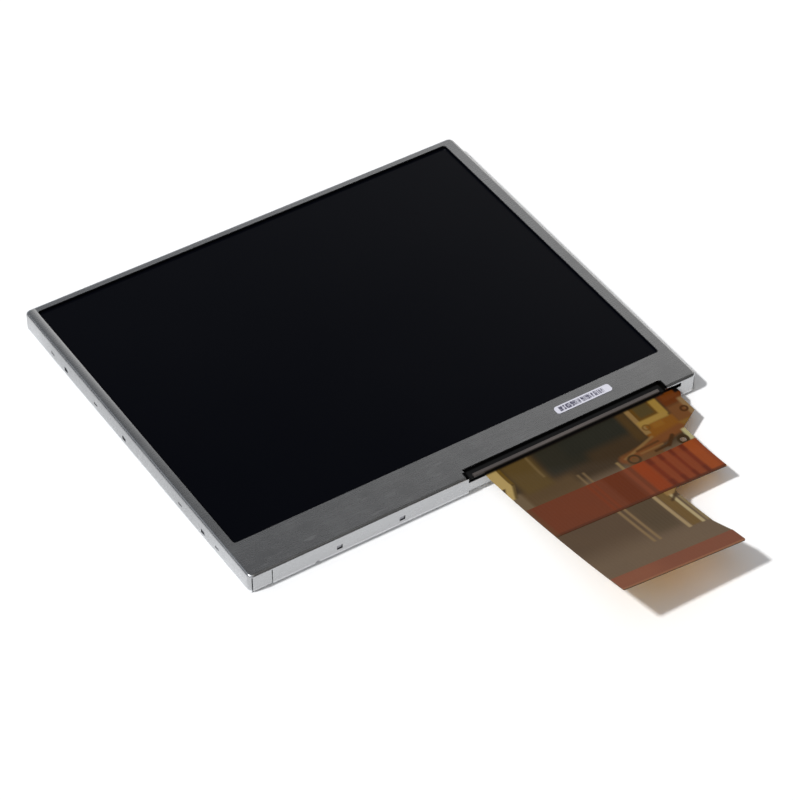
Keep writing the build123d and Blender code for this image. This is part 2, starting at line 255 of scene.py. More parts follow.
@dataclass(frozen=True)
class Layer:
    """What a finish sends to the shader. Sockets holds constants by their name."""

    colour: Any
    roughness: Any
    normal: Signal | None = None
    metallic: float = 0.0
    sockets: dict[str, Any] = field(default_factory=dict)


class Finish(ABC):
    """A procedural finish, made into a material once and kept by its name."""

    name = "finish"
    made: ClassVar[dict[str, bpy.types.Material]] = {}

    @abstractmethod
    def layer(self, bench: Bench) -> Layer:
        """Builds the nodes that drive the shader.

        Args:
            bench: The nodes of this finish's material.

        Returns:
            What goes to the shader.
        """

    def material(self) -> bpy.types.Material:
        """Makes the material, or gives the one made before.

        Returns:
            The material.
        """
        if self.name in self.made:
            return self.made[self.name]
        material = bpy.data.materials.new(self.name)
        self.made[self.name] = material
        material.use_nodes = True
        bench = Bench(material.node_tree)
        layer = self.layer(bench)
        values = {"Base Color": layer.colour, "Roughness": layer.roughness, "Metallic": layer.metallic}
        values.update(layer.sockets)
        if layer.normal is not None:
            values["Normal"] = layer.normal
        shader = bench.node("BsdfPrincipled", None, values)
        bench.node("OutputMaterial", None, {"Surface": shader.outputs[0]})
        return material


@dataclass(frozen=True)
class Patch:
    """A rectangle with its own tone, such as one area of the flexible circuit."""

    x: tuple[float, float]
    y: tuple[float, float]
    colour: Colour
    soft: float = 0.3
    strength: float = 1.0

    def mask(self, x: Signal, y: Signal) -> Signal:
        """1 inside the rectangle, fading over the soft edge."""
        return x.inside(*self.x, self.soft) * y.inside(*self.y, self.soft) * self.strength


@dataclass(frozen=True)
class Stroke:
    """A conductor or an edge drawn as a straight line of some width."""

    start: tuple[float, float]
    end: tuple[float, float]
    width: float
    colour: Colour
    soft: float = 0.25
    strength: float = 1.0

    def mask(self, x: Signal, y: Signal) -> Signal:
        """1 within half the width of the line between the two ends.

        The distance is measured from the nearest point of the line: the start plus the way to the
        end, times the share of that way, between 0 and 1, at which the point's foot lies.

        Args:
            x, y: The place on the film.

        Returns:
            The mask.
        """
        bench = x.bench
        dx = self.end[0] - self.start[0]
        dy = self.end[1] - self.start[1]
        square = dx * dx + dy * dy
        along = (x - self.start[0]) * (dx / square) + (y - self.start[1]) * (dy / square)
        along = bench.math("MINIMUM", bench.math("MAXIMUM", along, 0.0), 1.0)
        distance = bench.length(x - self.start[0] - along * dx, y - self.start[1] - along * dy)
        reach = self.width / 2
        fade = self.soft / 2
        return distance.rise(reach + fade, reach - fade) * self.strength


@dataclass(frozen=True)
class Ring:
    """A round pad or the dark land round a hole."""

    centre: tuple[float, float]
    radius: float
    width: float
    colour: Colour
    soft: float = 0.15
    strength: float = 1.0

    def mask(self, x: Signal, y: Signal) -> Signal:
        """1 where the distance from the centre is within half the width of the radius.

        Args:
            x, y: The place on the film.

        Returns:
            The mask.
        """
        distance = x.bench.length(x - self.centre[0], y - self.centre[1])
        inner = self.radius - self.width / 2
        outer = self.radius + self.width / 2
        return distance.inside(inner, outer, self.soft) * self.strength


Mark = Patch | Stroke | Ring


class Rolling(Enum):
    """The direction that a sheet was rolled in, as the stretch of its grain."""

    ALONG_X = (0.03, 1.0, 1.0)
    ALONG_Y = (1.0, 0.03, 1.0)


@dataclass(frozen=True)
class Arch:
    """The slight arch of the narrow left border, highest near its outer edge."""

    middle: float = -32.25
    half: float = 0.95
    rise: float = 0.085
    front: float = -26.0
    back: float = 24.0

    def height(self, bench: Bench) -> Signal:
        """The arch in millimetres: rise (1 - s^2), with s the way from the middle over the half width.

        It flattens towards the front and ends at the front border.

        Args:
            bench: The nodes of the bezel's material.

        Returns:
            The height.
        """
        x, y, _ = bench.place()
        share = bench.math("MINIMUM", abs(x - self.middle) / self.half, 1.0)
        return (1.0 - share * share) * self.rise * y.rise(self.front, self.back)


@dataclass(frozen=True)
class SheetSteel(Finish):
    """Stainless sheet: fine rolling grain, a faint mottle and small scuffs.

    The wall beyond side in X carries painted shade: side_painted_shade darkens its tone, standing for
    the darker part of the room that it mirrors, fading over the runs side_front and side_back in Y.
    The bottom edge, the run foot in Z, carries painted light: its tone is brighter by the share
    foot_painted_light, which offsets the shadowed floor that it mirrors. Marks show above mark_low.
    Red and blue are the metal's cool cast, against green.
    """

    name: str = "bezel_steel"
    tone: float = 0.47
    gloss: float = 0.26
    rolling: Rolling = Rolling.ALONG_X
    arch: Arch | None = None
    marks: tuple[Mark, ...] = ()
    mark_low: float = 2.5
    mark_soft: float = 0.1
    foot: tuple[float, float] = (0.55, 0.2)
    foot_painted_light: float = 0.9
    side: float = -32.66
    side_soft: float = 0.06
    side_front: tuple[float, float] = (-26.0, -12.0)
    side_back: tuple[float, float] = (27.0, 19.0)
    side_painted_shade: float = 0.24
    red: float = 0.99
    blue: float = 1.015
    relief: float = 0.0006

    def layer(self, bench: Bench) -> Layer:
        """Grain and mottle shift the tone by a few percent and the roughness a little more.

        Args:
            bench: The nodes of this finish's material.

        Returns:
            What goes to the shader.
        """
        grain = bench.noise(9.0, self.rolling.value, 4)
        mottle = bench.noise(0.35, detail=2, offset=4.0)
        speckle = bench.noise(14.0, detail=2, offset=9.0)
        scuff = bench.noise(1.6, (0.2, 1.0, 1.0), 5, 21.0).rise(0.62, 0.72)
        x, y, z = bench.place()
        # Painted shade darkens the left wall where it mirrors a darker part of the room, and painted light
        # brightens the foot, which mirrors the floor's shadow.
        dim = x.rise(self.side + self.side_soft, self.side)
        dim = dim * y.rise(*self.side_front) * y.rise(*self.side_back)
        painted_light_and_shade = 1.0 - self.side_painted_shade * dim + self.foot_painted_light * z.rise(*self.foot)
        shade = self.tone * (0.91 + 0.1 * grain + 0.08 * mottle) * painted_light_and_shade
        bright = bench.node("CombineColor", None, {0: shade * self.red, 1: shade, 2: shade * self.blue})
        tone = Signal(bench, bright.outputs[0])
        for mark in self.marks:
            mask = mark.mask(x, y) * z.rise(self.mark_low, self.mark_low + self.mark_soft)
            tone = bench.mix(tone, mark.colour, mask)
        rough = self.gloss - 0.05 + 0.07 * grain + 0.05 * mottle + 0.06 * scuff
        relief = (grain * 0.6 + speckle * 0.4) * self.relief
        if self.arch is not None:
            relief = relief + self.arch.height(bench)
        return Layer(tone, rough, bench.bump(relief, 1.0), metallic=1.0)


@dataclass(frozen=True)
class Moulding(Finish):
    """Moulded plastic with a fine spark-eroded texture."""

    name: str = "black_moulding"
    colour: Colour = srgb(34, 34, 36)
    worn: float = 1.6
    gloss: float = 0.5

    def layer(self, bench: Bench) -> Layer:
        """Two noises pit the surface, and the larger one varies its tone.

        Args:
            bench: The nodes of this finish's material.

        Returns:
            What goes to the shader.
        """
        fine = bench.noise(22.0, detail=2)
        wide = bench.noise(1.2, detail=3, offset=3.0)
        lighter = (*(part * self.worn for part in self.colour[:3]), 1.0)
        tone = bench.mix(self.colour, lighter, wide.rise(0.35, 0.75))
        return Layer(tone, self.gloss - 0.05 + 0.1 * fine, bench.bump(fine, 0.004))


@dataclass(frozen=True)
class OpticalFilm(Finish):
    """White or clear backlight film with fine parallel prisms."""

    name: str = "white_film"
    colour: Colour = srgb(232, 233, 236)
    prism: float = 0.05

    def layer(self, bench: Bench) -> Layer:
        """A triangle wave across Y, 0.05 mm long, stands for the prisms.

        Args:
            bench: The nodes of this finish's material.

        Returns:
            What goes to the shader.
        """
        y = bench.place()[1]
        saw = bench.math("PINGPONG", y, self.prism / 2) / (self.prism / 2)
        haze = bench.noise(0.6, detail=3)
        tone = bench.mix(self.colour, srgb(205, 210, 220), haze.rise(0.3, 0.8))
        return Layer(tone, 0.25 + 0.15 * haze, bench.bump(saw, 0.004, 0.4))


@dataclass(frozen=True)
class ClearPanel(Finish):
    """Clear glass or acrylic with a faint haze and, for the light guide, a dot pattern."""

    name: str = "panel_glass"
    colour: Colour = srgb(205, 214, 216)
    index: float = 1.5
    dots: bool = False

    def layer(self, bench: Bench) -> Layer:
        """Haze varies the roughness. Dots are the small cells of a 0.6 mm Voronoi grid.

        Args:
            bench: The nodes of this finish's material.

        Returns:
            What goes to the shader.
        """
        haze = bench.noise(0.5, detail=4)
        tone = bench.mix(self.colour, srgb(228, 233, 233), haze)
        if self.dots:
            grid = bench.spread((1.6, 1.6, 1.6))
            cells = bench.node("TexVoronoi", None, {"Vector": grid, "Scale": 1.0, "Randomness": 0.0})
            dot = Signal(bench, cells.outputs[0]).rise(0.24, 0.2)
            tone = bench.mix(tone, srgb(246, 246, 246), dot)
        return Layer(tone, 0.03 + 0.05 * haze, sockets={"Transmission Weight": 0.85, "IOR": self.index})


@dataclass(frozen=True)
class PanelFace(Finish):
    """The black polarizer: nearly no colour of its own, a hard satin coat and a little dust."""

    name: str = "polarizer_film"

    def layer(self, bench: Bench) -> Layer:
        """Broad noise moves the gloss a little, and sparse fine specks stand for dust.

        Args:
            bench: The nodes of this finish's material.

        Returns:
            What goes to the shader.
        """
        broad = bench.noise(0.05, detail=2)
        fine = bench.noise(30.0, detail=2, offset=5.0)
        dust = bench.noise(5.0, detail=3, offset=12.0).rise(0.76, 0.82)
        tone = bench.mix(srgb(3, 4, 9), srgb(12, 12, 14), dust * 0.6)
        rough = 0.13 + 0.05 * broad + 0.02 * fine
        return Layer(tone, rough, bench.bump(fine, 0.0004, 0.5),
                     sockets={"IOR": 1.5, "Specular IOR Level": 0.13})


@dataclass(frozen=True)
class BlackTape(Finish):
    """Black foam or adhesive tape, matt and slightly open-celled."""

    name: str = "black_tape"
    colour: Colour = srgb(22, 22, 24)

    def layer(self, bench: Bench) -> Layer:
        """Small Voronoi cells pit the surface.

        Args:
            bench: The nodes of this finish's material.

        Returns:
            What goes to the shader.
        """
        cells = bench.node("TexVoronoi", None, {"Vector": bench.spread((9.0, 9.0, 9.0)), "Scale": 1.0})
        pit = Signal(bench, cells.outputs[0])
        tone = bench.mix(self.colour, srgb(46, 46, 48), pit.rise(0.2, 0.9))
        return Layer(tone, 0.75 + 0.15 * pit, bench.bump(pit, 0.01))


@dataclass(frozen=True)
class LipFilm(Finish):
    """The black tape in the notch: matt where flat, smoother and with a grey painted sheen on its fold."""

    name: str = "lip_strip"
    fold_start: float = -27.15
    fold_end: float = -27.3
    fold_low: tuple[float, float] = (2.1, 2.3)

    def layer(self, bench: Bench) -> Layer:
        """Noise drawn out along X leaves faint streaks, and Y tells the fold from the flat part.

        Args:
            bench: The nodes of this finish's material.

        Returns:
            What goes to the shader.
        """
        _, y, z = bench.place()
        streak = bench.noise(1.5, (0.05, 1.0, 1.0), 4)
        fine = bench.noise(18.0, detail=2, offset=2.0)
        fold = y.rise(self.fold_start, self.fold_end) * z.rise(*self.fold_low)
        # Painted sheen: the fold of the black tape is coloured grey, with faint streaks.
        satin = bench.mix(srgb(74, 69, 67), srgb(94, 87, 83), streak.rise(0.3, 0.7))
        tone = bench.mix(srgb(9, 9, 10), satin, fold)
        return Layer(tone, 0.6 - 0.22 * fold + 0.1 * streak, bench.bump(fine, 0.002),
                     sockets={"Specular IOR Level": 0.3})


@dataclass(frozen=True)
class Resin(Finish):
    """Cured resin, phosphor gel or lamp plastic: a smooth cast surface with soft clouds."""

    name: str = "seal_resin"
    colour: Colour = srgb(188, 178, 156)
    deep: Colour = srgb(160, 146, 120)
    gloss: float = 0.35

    def layer(self, bench: Bench) -> Layer:
        """Cloudy noise mixes two tones and moves the roughness.

        Args:
            bench: The nodes of this finish's material.

        Returns:
            What goes to the shader.
        """
        cloud = bench.noise(1.8, detail=4)
        tone = bench.mix(self.colour, self.deep, cloud.rise(0.3, 0.75))
        return Layer(tone, self.gloss + 0.12 * cloud, bench.bump(cloud, 0.004))


@dataclass(frozen=True)
class Silicon(Finish):
    """A bare chip: dark, polished, with faint block shapes of its circuits."""

    name: str = "silicon"

    def layer(self, bench: Bench) -> Layer:
        """Square Voronoi cells give blocks of slightly different tone.

        Args:
            bench: The nodes of this finish's material.

        Returns:
            What goes to the shader.
        """
        grid = bench.spread((1.4, 3.0, MM))
        cells = bench.node("TexVoronoi", {"distance": "CHEBYCHEV"}, {"Vector": grid, "Scale": 1.0})
        split = bench.node("SeparateColor", None, {0: cells.outputs[1]})
        block = Signal(bench, split.outputs[0])
        tone = bench.mix(srgb(44, 46, 56), srgb(70, 66, 72), block)
        return Layer(tone, 0.18 + 0.1 * block, sockets={"IOR": 2.2})


@dataclass(frozen=True)
class PlatedGold(Finish):
    """Gold plate over copper foil, with the foil's fine grain."""

    name: str = "gold_plate"
    colour: Colour = srgb(214, 176, 98)

    def layer(self, bench: Bench) -> Layer:
        """Grain along the fingers varies the roughness, and clouds redden the tone.

        Args:
            bench: The nodes of this finish's material.

        Returns:
            What goes to the shader.
        """
        grain = bench.noise(12.0, (1.0, 0.1, 1.0), 3)
        cloud = bench.noise(0.7, detail=3, offset=7.0)
        tone = bench.mix(self.colour, srgb(196, 146, 84), cloud.rise(0.4, 0.8))
        return Layer(tone, 0.22 + 0.16 * grain, bench.bump(grain, 0.002), metallic=1.0)


@dataclass(frozen=True)
class LabelPaper(Finish):
    """A white coated label with a row of plain bars in place of print.

    The bars lie between bar_left and bar_right along X, on a middle line at middle_y. Bar_scale
    is the spots per millimetre of the noise that they are cut from, and bar_ink how strongly
    they cover the paper.
    """

    name: str = "label_paper"
    bar_left: float = 14.35
    bar_right: float = 21.0
    middle_y: float = -24.1
    bar_height: float = 0.86
    bar_scale: float = 5.2
    bar_ink: float = 0.95

    def layer(self, bench: Bench) -> Layer:
        """Noise of X alone, cut at one level, gives bars of uneven width.

        Args:
            bench: The nodes of this finish's material.

        Returns:
            What goes to the shader.
        """
        x, y, _ = bench.place()
        fibre = bench.noise(10.0, detail=3)
        line = bench.node("CombineXYZ", None, {0: x * self.bar_scale})
        code = bench.node("TexNoise", None, {"Vector": line.outputs[0], "Scale": 1.0, "Detail": 1.0})
        blots = bench.noise(4.2, (1.0, 0.8, 1.0), 1, 3.0).rise(0.42, 0.56)
        bars = Signal(bench, code.outputs[0]).rise(0.42, 0.47) * (0.5 + 0.5 * blots)
        half = self.bar_height / 2
        bars = bars * x.inside(self.bar_left, self.bar_right, 0.05)
        bars = bars * y.inside(self.middle_y - half, self.middle_y + half, 0.08)
        paper = bench.mix(srgb(206, 205, 216), srgb(220, 219, 228), fibre)
        tone = bench.mix(paper, srgb(60, 57, 80), bars * self.bar_ink)
        return Layer(tone, 0.42 + 0.1 * fibre, bench.bump(fibre, 0.002))


@dataclass(frozen=True)
class PrintedFilm(Finish):
    """Polyimide film over conductor areas: each mark is painted over the ones before it.

    Mottle is the share by which clouds shift the tone. Ridges lie trace_pitch apart, and
    trace_depth is their share of the relief. Shine is the shader's specular level.
    """

    name: str = "amber_film"
    base: Colour = srgb(92, 82, 64)
    marks: tuple[Mark, ...] = ()
    gloss: float = 0.34
    mottle: float = 0.25
    trace_pitch: float = 0.5
    trace_depth: float = 0.3
    relief: float = 0.01
    shine: float = 0.1

    def layer(self, bench: Bench) -> Layer:
        """Marks over a mottled base, with faint ridges along Y where conductors run.

        Args:
            bench: The nodes of this finish's material.

        Returns:
            What goes to the shader.
        """
        x, y, _ = bench.place()
        cloud = bench.noise(0.22, detail=4, offset=1.0)
        fine = bench.noise(3.0, detail=3, offset=6.0)
        tone = self.base
        for mark in self.marks:
            tone = bench.mix(tone, mark.colour, mark.mask(x, y))
        shade = 1.0 - self.mottle * 0.5 + self.mottle * (0.7 * cloud + 0.3 * fine)
        grey = bench.node("CombineColor", None, {0: shade, 1: shade, 2: shade})
        shaded = bench.node("Mix", {"data_type": "RGBA", "blend_type": "MULTIPLY"},
                            {0: 1.0, 6: tone, 7: grey.outputs[0]})
        ridge = bench.math("PINGPONG", x, self.trace_pitch / 2) / (self.trace_pitch / 2)
        normal = bench.bump(ridge.rise(0.25, 0.6) * self.trace_depth + cloud * 0.5, self.relief)
        rough = self.gloss - 0.06 + 0.16 * cloud
        return Layer(Signal(bench, shaded.outputs[2]), rough, normal,
                     sockets={"Specular IOR Level": self.shine})


Edge = Callable[[np.ndarray], np.ndarray]
Height = Callable[[np.ndarray, np.ndarray], np.ndarray]


@dataclass
class FlexCircuit:
    """The flexible circuit: a bent sheet with a hole, a middle band and a stiffened end.

    The underside starts flat at seat. A fold line through the left edge at the front wall, turned
    by twist, starts a lifting arc, then a short ramp and a wide curl. Names that end in right are
    right edges in X, and those that end in start or end are places along Y. Flare, armpit, corner
    and the hole's names size the outline, sheet and band are thicknesses, and band_share is the
    part of its thickness that a band keeps, so that it stays just clear of the sheet. The last
    fields set how fine the grids are.
    """

    front: float = -28.0
    left: float = 0.75
    tail_right: float = 17.8
    wide_right: float = 26.0
    root_right: float = 29.4
    ear_right: float = 28.95
    root: float = -25.7
    shoulder_start: float = -29.0
    shoulder_end: float = -29.7
    ear_end: float = -32.5
    slant_end: float = -34.3
    wide_end: float = -43.05
    flare_start: float = -51.0
    flare_end: float = -54.0
    flare: float = 0.7
    tail_end: float = -56.4
    armpit: float = 1.0
    corner: float = 0.2
    hole: tuple[float, float] = (24.65, -36.0)
    hole_radius: float = 0.42
    hole_patch: float = 1.2
    hole_cells: int = 6
    seat: float = 1.93
    sheet: float = 0.12
    band: float = 0.05
    band_share: float = 0.98
    band_start: float = -36.65
    end_band: float = 2.6
    twist: float = math.radians(20.85)
    lift: float = math.radians(7.1)
    lift_radius: float = 12.0
    ramp: float = 1.4
    curl_radius: float = 176.0
    spacing: float = 0.35
    corner_steps: int = 5
    fillet_steps: int = 9
    tail_columns: int = 54
    near_columns: int = 12
    edge_columns: int = 5
    band_columns: int = 60

    def height(self, x: np.ndarray, y: np.ndarray) -> np.ndarray:
        """Height of the underside.

        The way from the fold line is -(x - left) sin(twist) - (y - front) cos(twist). Over it the
        height is flat, then r - sqrt(r^2 - s^2) on the lifting arc, then s tan(lift) on the ramp,
        then R (cos(lift) - sqrt(1 - (sin(lift) + s / R)^2)) on the curl, with s the way into each.

        Args:
            x, y: Plan coordinates.

        Returns:
            The heights, in the same shape.
        """
        way = -(x - self.left) * math.sin(self.twist) - (y - self.front) * math.cos(self.twist)
        arc = self.lift_radius * math.sin(self.lift)
        run = self.ramp * math.cos(self.lift)
        lifted = self.lift_radius - np.sqrt(self.lift_radius ** 2 - np.clip(way, 0, arc) ** 2)
        ramped = np.clip(way - arc, 0, run) * math.tan(self.lift)
        lean = math.sin(self.lift) + np.clip(way - arc - run, 0, None) / self.curl_radius
        curled = self.curl_radius * (math.cos(self.lift) - np.sqrt(1 - lean ** 2))
        return self.seat + lifted + ramped + curled

    def wide_edge(self, y: np.ndarray) -> np.ndarray:
        """The right edge from the root to the step: root, ear, slant and middle, by straight runs.

        Args:
            y: Places along Y.

        Returns:
            The edge's X at each.
        """
        places = [self.root, self.shoulder_start, self.shoulder_end, self.ear_end, self.slant_end,
                  self.wide_end]
        edges = [self.root_right, self.root_right, self.ear_right, self.ear_right, self.wide_right,
                 self.wide_right]
        return np.interp(-y, [-p for p in places], edges) - self.rounding(y - self.wide_end)

    def tail_edge(self, y: np.ndarray) -> np.ndarray:
        """The tail's right edge: a quarter circle out of the step, then straight, then the flare.

        Args:
            y: Places along Y.

        Returns:
            The edge's X at each.
        """
        inner = self.tail_right + self.armpit
        depth = np.clip(self.wide_end - y, 0, self.armpit)
        fillet = inner - np.sqrt(self.armpit ** 2 - (self.armpit - depth) ** 2)
        flare = np.interp(-y, [-self.flare_start, -self.flare_end], [0, self.flare])
        return fillet + flare - self.rounding(y - self.tail_end)

    def rounding(self, way: np.ndarray) -> np.ndarray:
        """How far a rounded corner draws an edge in: r - sqrt(r^2 - (r - way)^2) within r of the end."""
        near = np.clip(self.corner - way, 0, self.corner)
        return self.corner - np.sqrt(self.corner ** 2 - near ** 2)

    def rows(self, *stops: float) -> np.ndarray:
        """Rows between stops, each run divided into equal steps no longer than the spacing."""
        runs = [np.linspace(a, b, max(1, math.ceil(abs(b - a) / self.spacing)) + 1)[:-1]
                for a, b in zip(stops, stops[1:])]
        return np.concatenate([*runs, [stops[-1]]])

    def corner_rows(self, end: float) -> list[float]:
        """Stops round a rounded corner: end + r (1 - sin(a)), with a from 0 to a quarter turn."""
        angles = np.linspace(0, math.pi / 2, self.corner_steps)
        return [end + self.corner * (1 - math.sin(angle)) for angle in angles]

    def build(self) -> list[bpy.types.Object]:
        """Makes the sheet and its two bands.

        Returns:
            The three pieces.
        """
        sheet = self.sheet_piece()
        middle = self.band_piece("middle_band", self.band_start, self.wide_end, self.wide_edge)
        end = self.band_piece("end_band", self.tail_end + self.end_band, self.tail_end, self.tail_edge)
        return [sheet, middle, end]

    def sheet_piece(self) -> bpy.types.Object:
        """Joins two grids: the tail's whole length, and the wide part right of it.

        Ticks are the rows and columns round the hole, counted from the patch's corner.

        Returns:
            The sheet.
        """
        ticks = self.hole_patch / self.hole_cells * np.arange(2 * self.hole_cells + 1)
        rows = self.wide_rows(ticks)
        grids = [self.tail_grid(rows), self.wide_grid(rows, ticks)]
        piece = mesh_piece("flex_sheet", grids, lambda a, b: self.height(a, b) + self.sheet)
        thicken(piece, self.sheet)
        return piece

    def wide_rows(self, ticks: np.ndarray) -> np.ndarray:
        """The rows from the root to the step, with even ones round the hole.

        Args:
            ticks: The ways from the hole patch's side to its rows.

        Returns:
            The rows' Y.
        """
        patch_top = self.hole[1] + self.hole_patch
        upper = self.rows(self.root, self.shoulder_start, self.shoulder_end, self.ear_end,
                          self.slant_end, patch_top)
        across = patch_top - ticks[1:]
        lower = self.rows(across[-1], *self.corner_rows(self.wide_end))[1:]
        return np.concatenate([upper, across, lower])

    def tail_grid(self, wide_rows: np.ndarray) -> "Grid":
        """The grid of the tail and of the strip above it.

        A point is (left + s (right - left), y), with s from 0 to 1 across each row.

        Args:
            wide_rows: The rows beside the wide part.

        Returns:
            The grid.
        """
        angles = np.linspace(0, math.pi / 2, self.fillet_steps)
        fillet = [self.wide_end - self.armpit * (1 - math.cos(angle)) for angle in angles]
        tail_rows = self.rows(*fillet, self.flare_start, self.flare_end, *self.corner_rows(self.tail_end))
        rows = np.concatenate([wide_rows, tail_rows[1:]])
        share = np.linspace(0, 1, self.tail_columns)[None, :]
        left = self.left + self.rounding(rows - self.tail_end)[:, None]
        split = self.tail_right + self.armpit
        right = np.where(rows < self.wide_end, self.tail_edge(rows), split)[:, None]
        return Grid(left + share * (right - left), rows[:, None] + 0 * share)

    def wide_grid(self, rows: np.ndarray, ticks: np.ndarray) -> "Grid":
        """The grid right of the tail: fixed columns past the hole, then a share of the way out.

        Args:
            rows: The rows' Y.
            ticks: The ways from the hole patch's side to its columns.

        Returns:
            The grid, with its hole open.
        """
        split = self.tail_right + self.armpit
        patch_left = self.hole[0] - self.hole_patch
        near = np.concatenate([np.linspace(split, patch_left, self.near_columns)[:-1], patch_left + ticks])
        share = np.linspace(0, 1, self.edge_columns)[None, 1:]
        fixed = near[None, :] + 0 * rows[:, None]
        out = near[-1] + share * (self.wide_edge(rows)[:, None] - near[-1])
        x = np.concatenate([fixed, out], axis=1)
        return Grid(*self.open_hole(x, rows[:, None] + 0 * x))

    def open_hole(self, x: np.ndarray, y: np.ndarray) -> tuple[np.ndarray, np.ndarray, np.ndarray]:
        """Moves the points round the hole and says which cells stay.

        A point's square radius is the larger of its two distances from the centre, over the
        patch's half side. The square ring two cells out from the centre goes to the circle, and
        the points from there to the patch's side are spread between.

        Args:
            x, y: The grid's points.

        Returns:
            The moved x and y, and a mask of the cells that aren't the hole.
        """
        off_x = x - self.hole[0]
        off_y = y - self.hole[1]
        radius = np.maximum(np.abs(off_x), np.abs(off_y)) / self.hole_patch
        inner = 2 / self.hole_cells
        away = np.hypot(off_x, off_y) + 1e-9
        share = np.clip((radius - inner) / (1 - inner), 0, 1)
        moved_x = self.hole[0] + off_x / away * self.hole_radius
        moved_y = self.hole[1] + off_y / away * self.hole_radius
        new_x = moved_x + share * (x - moved_x)
        new_y = moved_y + share * (y - moved_y)
        middle = (radius[:-1, :-1] + radius[1:, 1:]) / 2
        return new_x, new_y, middle > inner

    def band_piece(self, name: str, start: float, end: float, edge: Edge) -> bpy.types.Object:
        """A band across the sheet, from the left edge to the right one, on the sheet's top.

        Args:
            name: The piece's name.
            start, end: The band's two Y values.
            edge: The function that gives the right edge at each Y.

        Returns:
            The piece.
        """
        rows = self.rows(start, *self.corner_rows(end))
        share = np.linspace(0, 1, self.band_columns)[None, :]
        x = self.left + share * (edge(rows)[:, None] - self.left)
        y = rows[:, None] + 0 * share
        top = self.sheet + self.band
        piece = mesh_piece(name, [Grid(x, y)], lambda a, b: self.height(a, b) + top)
        thicken(piece, self.band * self.band_share)
        return piece


@dataclass
class Grid:
    """A grid of plan points, and which of its cells have a face."""

    x: np.ndarray
    y: np.ndarray
    keep: np.ndarray | None = None

    def quads(self, first: int) -> np.ndarray:
        """The corners of each cell, anticlockwise from above.

        Args:
            first: The number of the grid's first point.

        Returns:
            Rows of four point numbers.
        """
        rows, columns = self.x.shape
        numbers = first + np.arange(rows * columns).reshape(rows, columns)
        corners = [numbers[:-1, :-1], numbers[1:, :-1], numbers[1:, 1:], numbers[:-1, 1:]]
        cells = np.stack(corners, axis=-1)
        return cells.reshape(-1, 4) if self.keep is None else cells[self.keep]


def mesh_piece(name: str, grids: list[Grid], height: Height) -> bpy.types.Object:
    """Makes one object from plan grids and a height function.

    Args:
        name: The object's name.
        grids: The grids, which may share an edge.
        height: Gives Z for plan coordinates.

    Returns:
        The object, with shared points merged.
    """
    points = []
    faces = []
    count = 0
    for grid in grids:
        z = height(grid.x, grid.y)
        points.append(np.stack([grid.x, grid.y, z], axis=-1).reshape(-1, 3) * MM)
        faces.append(grid.quads(count))
        count += grid.x.size
    mesh = bpy.data.meshes.new(name)
    mesh.from_pydata(np.concatenate(points).tolist(), [], np.concatenate(faces).tolist())
    work = bmesh.new()
    work.from_mesh(mesh)
    bmesh.ops.remove_doubles(work, verts=work.verts, dist=MERGE_DISTANCE)
    loose = [v for v in work.verts if not v.link_faces]
    bmesh.ops.delete(work, geom=loose, context="VERTS")
    work.to_mesh(mesh)
    work.free()
    mesh.polygons.foreach_set("use_smooth", np.ones(len(mesh.polygons), dtype=bool))
    return new_object(name, mesh)


def thicken(piece: bpy.types.Object, thickness: float) -> None:
    """Gives a sheet its thickness below its face, with sharp edges and a second material below.

    Args:
        piece: The sheet.
        thickness: Its thickness.
    """
    solid = piece.modifiers.new("thickness", "SOLIDIFY")
    solid.thickness = thickness * MM
    solid.offset = -1
    solid.material_offset = 1
    split = piece.modifiers.new("crisp_edges", "EDGE_SPLIT")
    split.split_angle = CREASE_ANGLE


